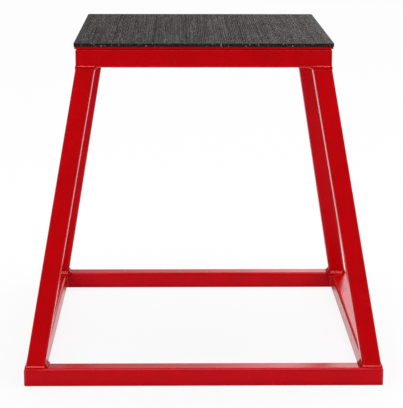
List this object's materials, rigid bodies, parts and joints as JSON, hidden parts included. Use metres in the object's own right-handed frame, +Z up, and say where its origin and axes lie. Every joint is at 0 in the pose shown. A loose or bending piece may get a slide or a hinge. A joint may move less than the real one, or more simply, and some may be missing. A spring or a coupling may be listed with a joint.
{
  "type": "plyo box",
  "caption": "Plyometric jump box: splayed frame of welded square steel tube in red enamel, with a steel deck and a square black rubber landing mat.",
  "frame": {"origin": "on the floor, at the centre of the base frame", "axes": "+Z up, +X to the right seen from the front, and the front faces -Y"},
  "size_m": [0.487, 0.487, 0.457],
  "materials": {
    "frame_enamel": "glossy red enamel",
    "weld_enamel": "glossy red enamel over rippled weld beads",
    "deck_enamel": "glossy red enamel",
    "mat_rubber": "matte black, fine ribs front to rear, rough cut edges",
    "adhesive": "dark contact adhesive"
  },
  "bodies": {
    "root": {"base_rail_front": "frame_enamel", "top_rail_front": "frame_enamel", "deck_stitch_welds_front": "weld_enamel", "base_rail_right": "frame_enamel", "top_rail_right": "frame_enamel", "deck_stitch_welds_right": "weld_enamel", "base_rail_rear": "frame_enamel", "top_rail_rear": "frame_enamel", "deck_stitch_welds_rear": "weld_enamel", "base_rail_left": "frame_enamel", "top_rail_left": "frame_enamel", "deck_stitch_welds_left": "weld_enamel", "leg_rear_right": "frame_enamel", "foot_weld_rear_right": "weld_enamel", "head_weld_rear_right": "weld_enamel", "base_mitre_weld_rear_right": "weld_enamel", "top_mitre_weld_rear_right": "weld_enamel", "leg_rear_left": "frame_enamel", "foot_weld_rear_left": "weld_enamel", "head_weld_rear_left": "weld_enamel", "base_mitre_weld_rear_left": "weld_enamel", "top_mitre_weld_rear_left": "weld_enamel", "leg_front_left": "frame_enamel", "foot_weld_front_left": "weld_enamel", "head_weld_front_left": "weld_enamel", "base_mitre_weld_front_left": "weld_enamel", "top_mitre_weld_front_left": "weld_enamel", "leg_front_right": "frame_enamel", "foot_weld_front_right": "weld_enamel", "head_weld_front_right": "weld_enamel", "base_mitre_weld_front_right": "weld_enamel", "top_mitre_weld_front_right": "weld_enamel", "deck_plate": "deck_enamel", "mat_adhesive": "adhesive", "rubber_mat": "mat_rubber"}
  },
  "joints": []
}
